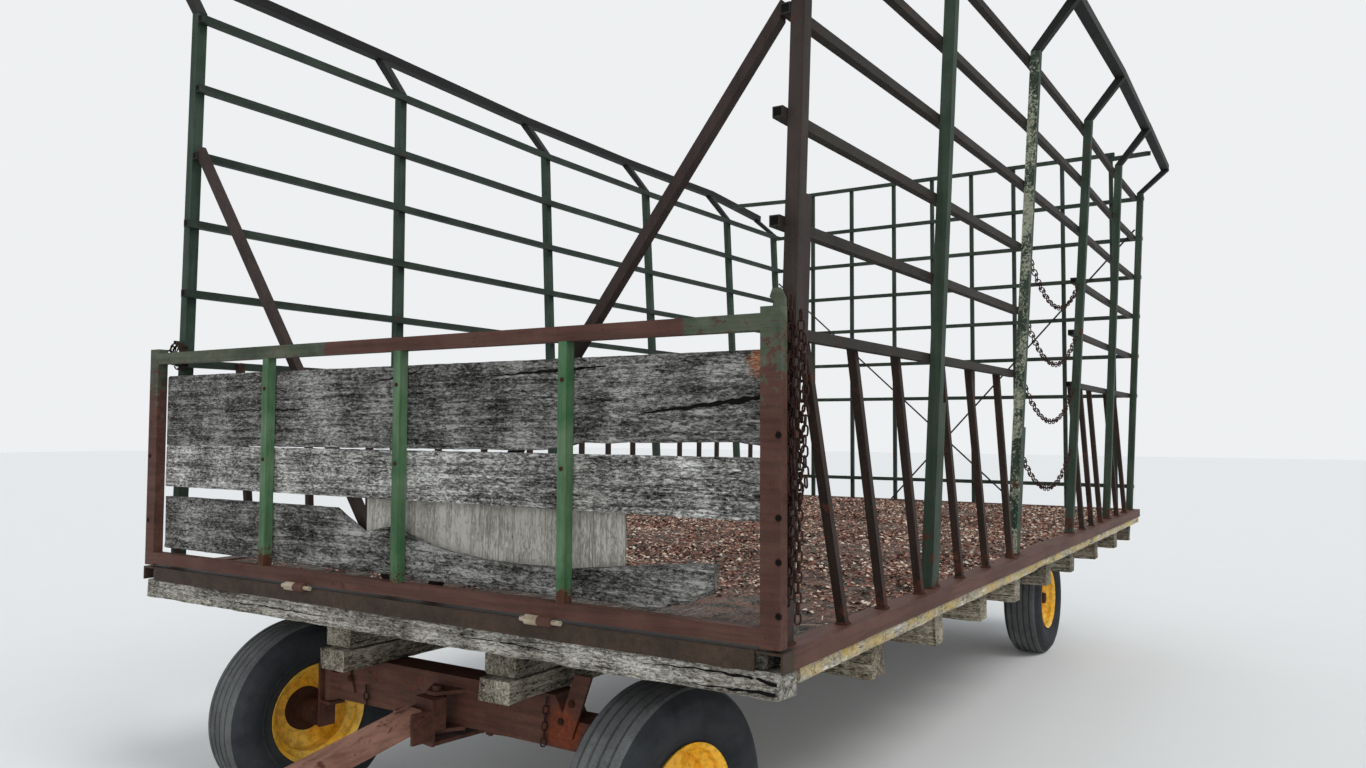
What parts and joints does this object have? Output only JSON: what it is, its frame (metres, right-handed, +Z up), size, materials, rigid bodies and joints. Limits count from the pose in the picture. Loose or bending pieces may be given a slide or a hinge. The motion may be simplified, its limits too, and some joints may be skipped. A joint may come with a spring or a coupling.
{
  "type": "hay wagon",
  "caption": "Flat-deck farm hay wagon with open tube side walls, flared rails, fold-down front gate, steered running gear and a drawbar tongue.",
  "frame": {"origin": "on the ground, below the centre of the whole parked wagon's box, tongue included", "axes": "+X forward along the wagon towards the tongue, +Y to the wagon's left, +Z up"},
  "size_m": [7.3184, 3.3126, 3.435],
  "materials": {
    "timber": "rough",
    "edge_steel": "rough",
    "wall_steel": "rough",
    "brown_steel": "rough",
    "gate_wood": "rough",
    "chain_steel": "rough",
    "gear_steel": "rough",
    "tyre_rubber": "matte",
    "rim_paint": "satin",
    "hub_iron": "rough"
  },
  "bodies": {
    "wagon": {"deck_planks": "timber", "edge_timbers": "timber", "cross_timbers": "timber", "stringers": "timber", "edge_angles": "edge_steel", "left_posts": "wall_steel", "right_posts": "wall_steel", "flare_arms": "wall_steel", "flare_rails": "brown_steel", "left_rails": "brown_steel", "right_rails": "wall_steel", "pickets": "brown_steel", "rear_rails": "wall_steel", "rear_bars": "wall_steel", "corner_rails": "wall_steel", "braces": "brown_steel", "chains": "chain_steel", "deck_hinges": "brown_steel", "front_axle": "gear_steel", "pivot_bracket": "gear_steel", "bolster_stakes": "gear_steel", "rear_axle": "gear_steel", "reach_pole": "gear_steel"},
    "gate": {"gate_frame": "edge_steel", "gate_bars": "wall_steel", "gate_boards": "gate_wood"},
    "steer_head": {"steer_head": "gear_steel"},
    "tongue": {"tongue": "gear_steel"},
    "knuckle_left": {"knuckle_left": "gear_steel"},
    "knuckle_right": {"knuckle_right": "gear_steel"},
    "tie_rod_left": {"tie_rod_left": "gear_steel"},
    "tie_rod_right": {"tie_rod_right": "gear_steel"},
    "wheel_front_left": {"tyre_front_left": "tyre_rubber", "rim_front_left": "rim_paint", "hub_front_left": "hub_iron"},
    "wheel_front_right": {"tyre_front_right": "tyre_rubber", "rim_front_right": "rim_paint", "hub_front_right": "hub_iron"},
    "wheel_rear_left": {"tyre_rear_left": "tyre_rubber", "rim_rear_left": "rim_paint", "hub_rear_left": "hub_iron"},
    "wheel_rear_right": {"tyre_rear_right": "tyre_rubber", "rim_rear_right": "rim_paint", "hub_rear_right": "hub_iron"}
  },
  "joints": [
    {"name": "steering", "type": "hinge", "parent": "wagon", "child": "steer_head", "pos_m": [1.6078, 0, 0.507], "axis": [0, 0, 1], "range_deg": [-20, 36]},
    {"name": "tongue_lift", "type": "hinge", "parent": "steer_head", "child": "tongue", "pos_m": [1.70286, -0.01336, 0.498], "axis": [-0.1392, -0.9903, 0], "range_deg": [0, 28]},
    {"name": "gate_fold", "type": "hinge", "parent": "wagon", "child": "gate", "pos_m": [1.84129, 0, 0.905], "axis": [0, 1, 0], "range_deg": [0, 90]},
    {"name": "kingpin_left", "type": "hinge", "parent": "wagon", "child": "knuckle_left", "pos_m": [1.49579, 0.67, 0.466], "axis": [0, 0, 1], "range_deg": [-20, 36]},
    {"name": "tie_rod_left_swing", "type": "hinge", "parent": "steer_head", "child": "tie_rod_left", "pos_m": [1.40615, 0.05257, 0.396], "axis": [0, 0, 1], "range_deg": [-36, 20]},
    {"name": "front_left_spin", "type": "hinge", "parent": "knuckle_left", "child": "wheel_front_left", "pos_m": [1.5221, 0.85716, 0.351], "axis": [0.1392, 0.9903, 0], "continuous": true},
    {"name": "rear_left_spin", "type": "hinge", "parent": "wagon", "child": "wheel_rear_left", "pos_m": [-2.84821, 0.859, 0.351], "axis": [0, 1, 0], "continuous": true},
    {"name": "kingpin_right", "type": "hinge", "parent": "wagon", "child": "knuckle_right", "pos_m": [1.49579, -0.67, 0.466], "axis": [0, 0, 1], "range_deg": [-20, 36]},
    {"name": "tie_rod_right_swing", "type": "hinge", "parent": "steer_head", "child": "tie_rod_right", "pos_m": [1.39947, 0.00504, 0.396], "axis": [0, 0, 1], "range_deg": [-36, 20]},
    {"name": "front_right_spin", "type": "hinge", "parent": "knuckle_right", "child": "wheel_front_right", "pos_m": [1.46949, -0.85716, 0.351], "axis": [0.1392, 0.9903, 0], "continuous": true},
    {"name": "rear_right_spin", "type": "hinge", "parent": "wagon", "child": "wheel_rear_right", "pos_m": [-2.84821, -0.859, 0.351], "axis": [0, 1, 0], "continuous": true}
  ],
  "couplings": [
    {"joint": "kingpin_left", "follows": "steering", "ratio": 1},
    {"joint": "tie_rod_left_swing", "follows": "steering", "ratio": -1},
    {"joint": "kingpin_right", "follows": "steering", "ratio": 1},
    {"joint": "tie_rod_right_swing", "follows": "steering", "ratio": -1}
  ]
}
